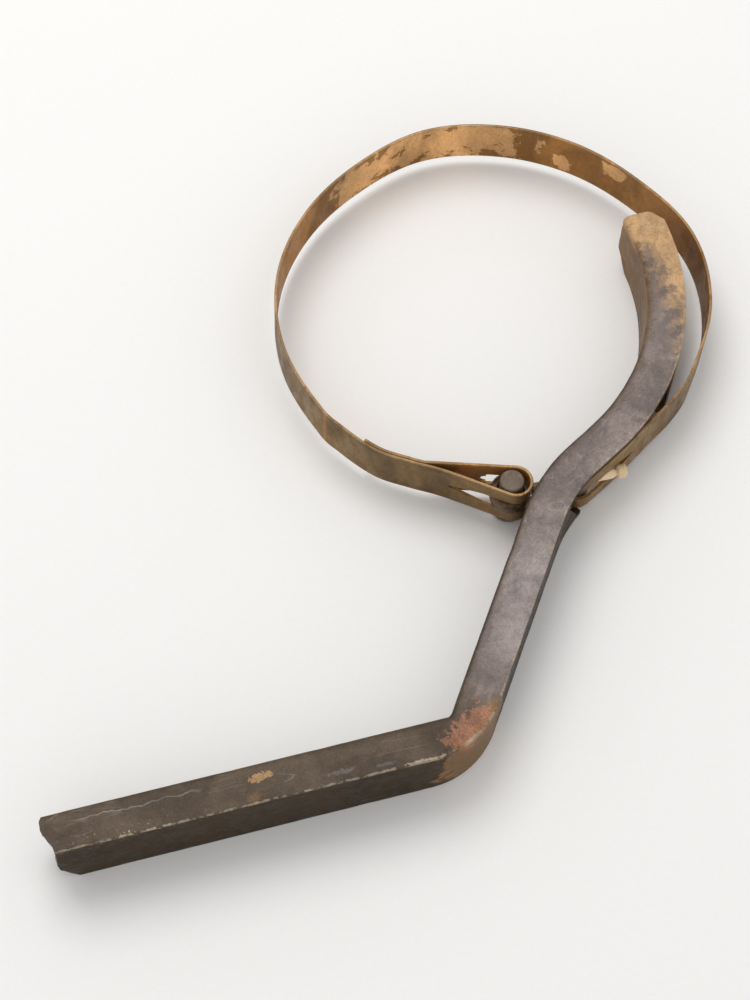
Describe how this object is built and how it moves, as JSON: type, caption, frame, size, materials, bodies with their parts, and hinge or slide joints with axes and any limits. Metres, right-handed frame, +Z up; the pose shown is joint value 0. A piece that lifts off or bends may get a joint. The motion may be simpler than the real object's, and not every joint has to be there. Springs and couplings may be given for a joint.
{
  "type": "band filter wrench",
  "caption": "Band wrench: a thin steel strap ring with a loop at each end, drawn tight round a canister by a cranked channel handle that swings on a pin.",
  "frame": {"origin": "centre of the part's footprint, on the surface that it lies on", "axes": "+Z up out of the flat side of the handle, along the axes of the ring and of both pins; +Y from the grip towards the jaw; +X from the strap's ring towards the jaw's back"},
  "size_m": [0.1408, 0.19, 0.017],
  "materials": {
    "dark_steel": "aged dark brown steel, worn bright along its edges, patches of rust",
    "strap_steel": "olive-brown tarnished spring steel with bare tan patches",
    "pin_steel": "dull grey-brown peened steel",
    "bare_steel": "tarnished steel rubbed to a brassy shine"
  },
  "bodies": {
    "strap": {"band": "strap_steel"},
    "left_pin": {"left_pin": "pin_steel"},
    "link": {"draw_bolt": "bare_steel", "right_pin": "pin_steel"},
    "handle": {"handle": "dark_steel"}
  },
  "joints": [
    {"name": "left_pin_spin", "type": "hinge", "parent": "strap", "child": "left_pin", "pos_m": [0.02521, -0.00128, 0.0085], "axis": [0, 0, 1], "continuous": true},
    {"name": "link_pivot", "type": "hinge", "parent": "strap", "child": "link", "pos_m": [0.02521, -0.00128, 0.0085], "axis": [0, 0, 1], "range_deg": [-1, 1]},
    {"name": "handle_pivot", "type": "hinge", "parent": "link", "child": "handle", "pos_m": [0.04031, 0.00312, 0.0085], "axis": [0, 0, 1], "range_deg": [-1, 30]}
  ]
}
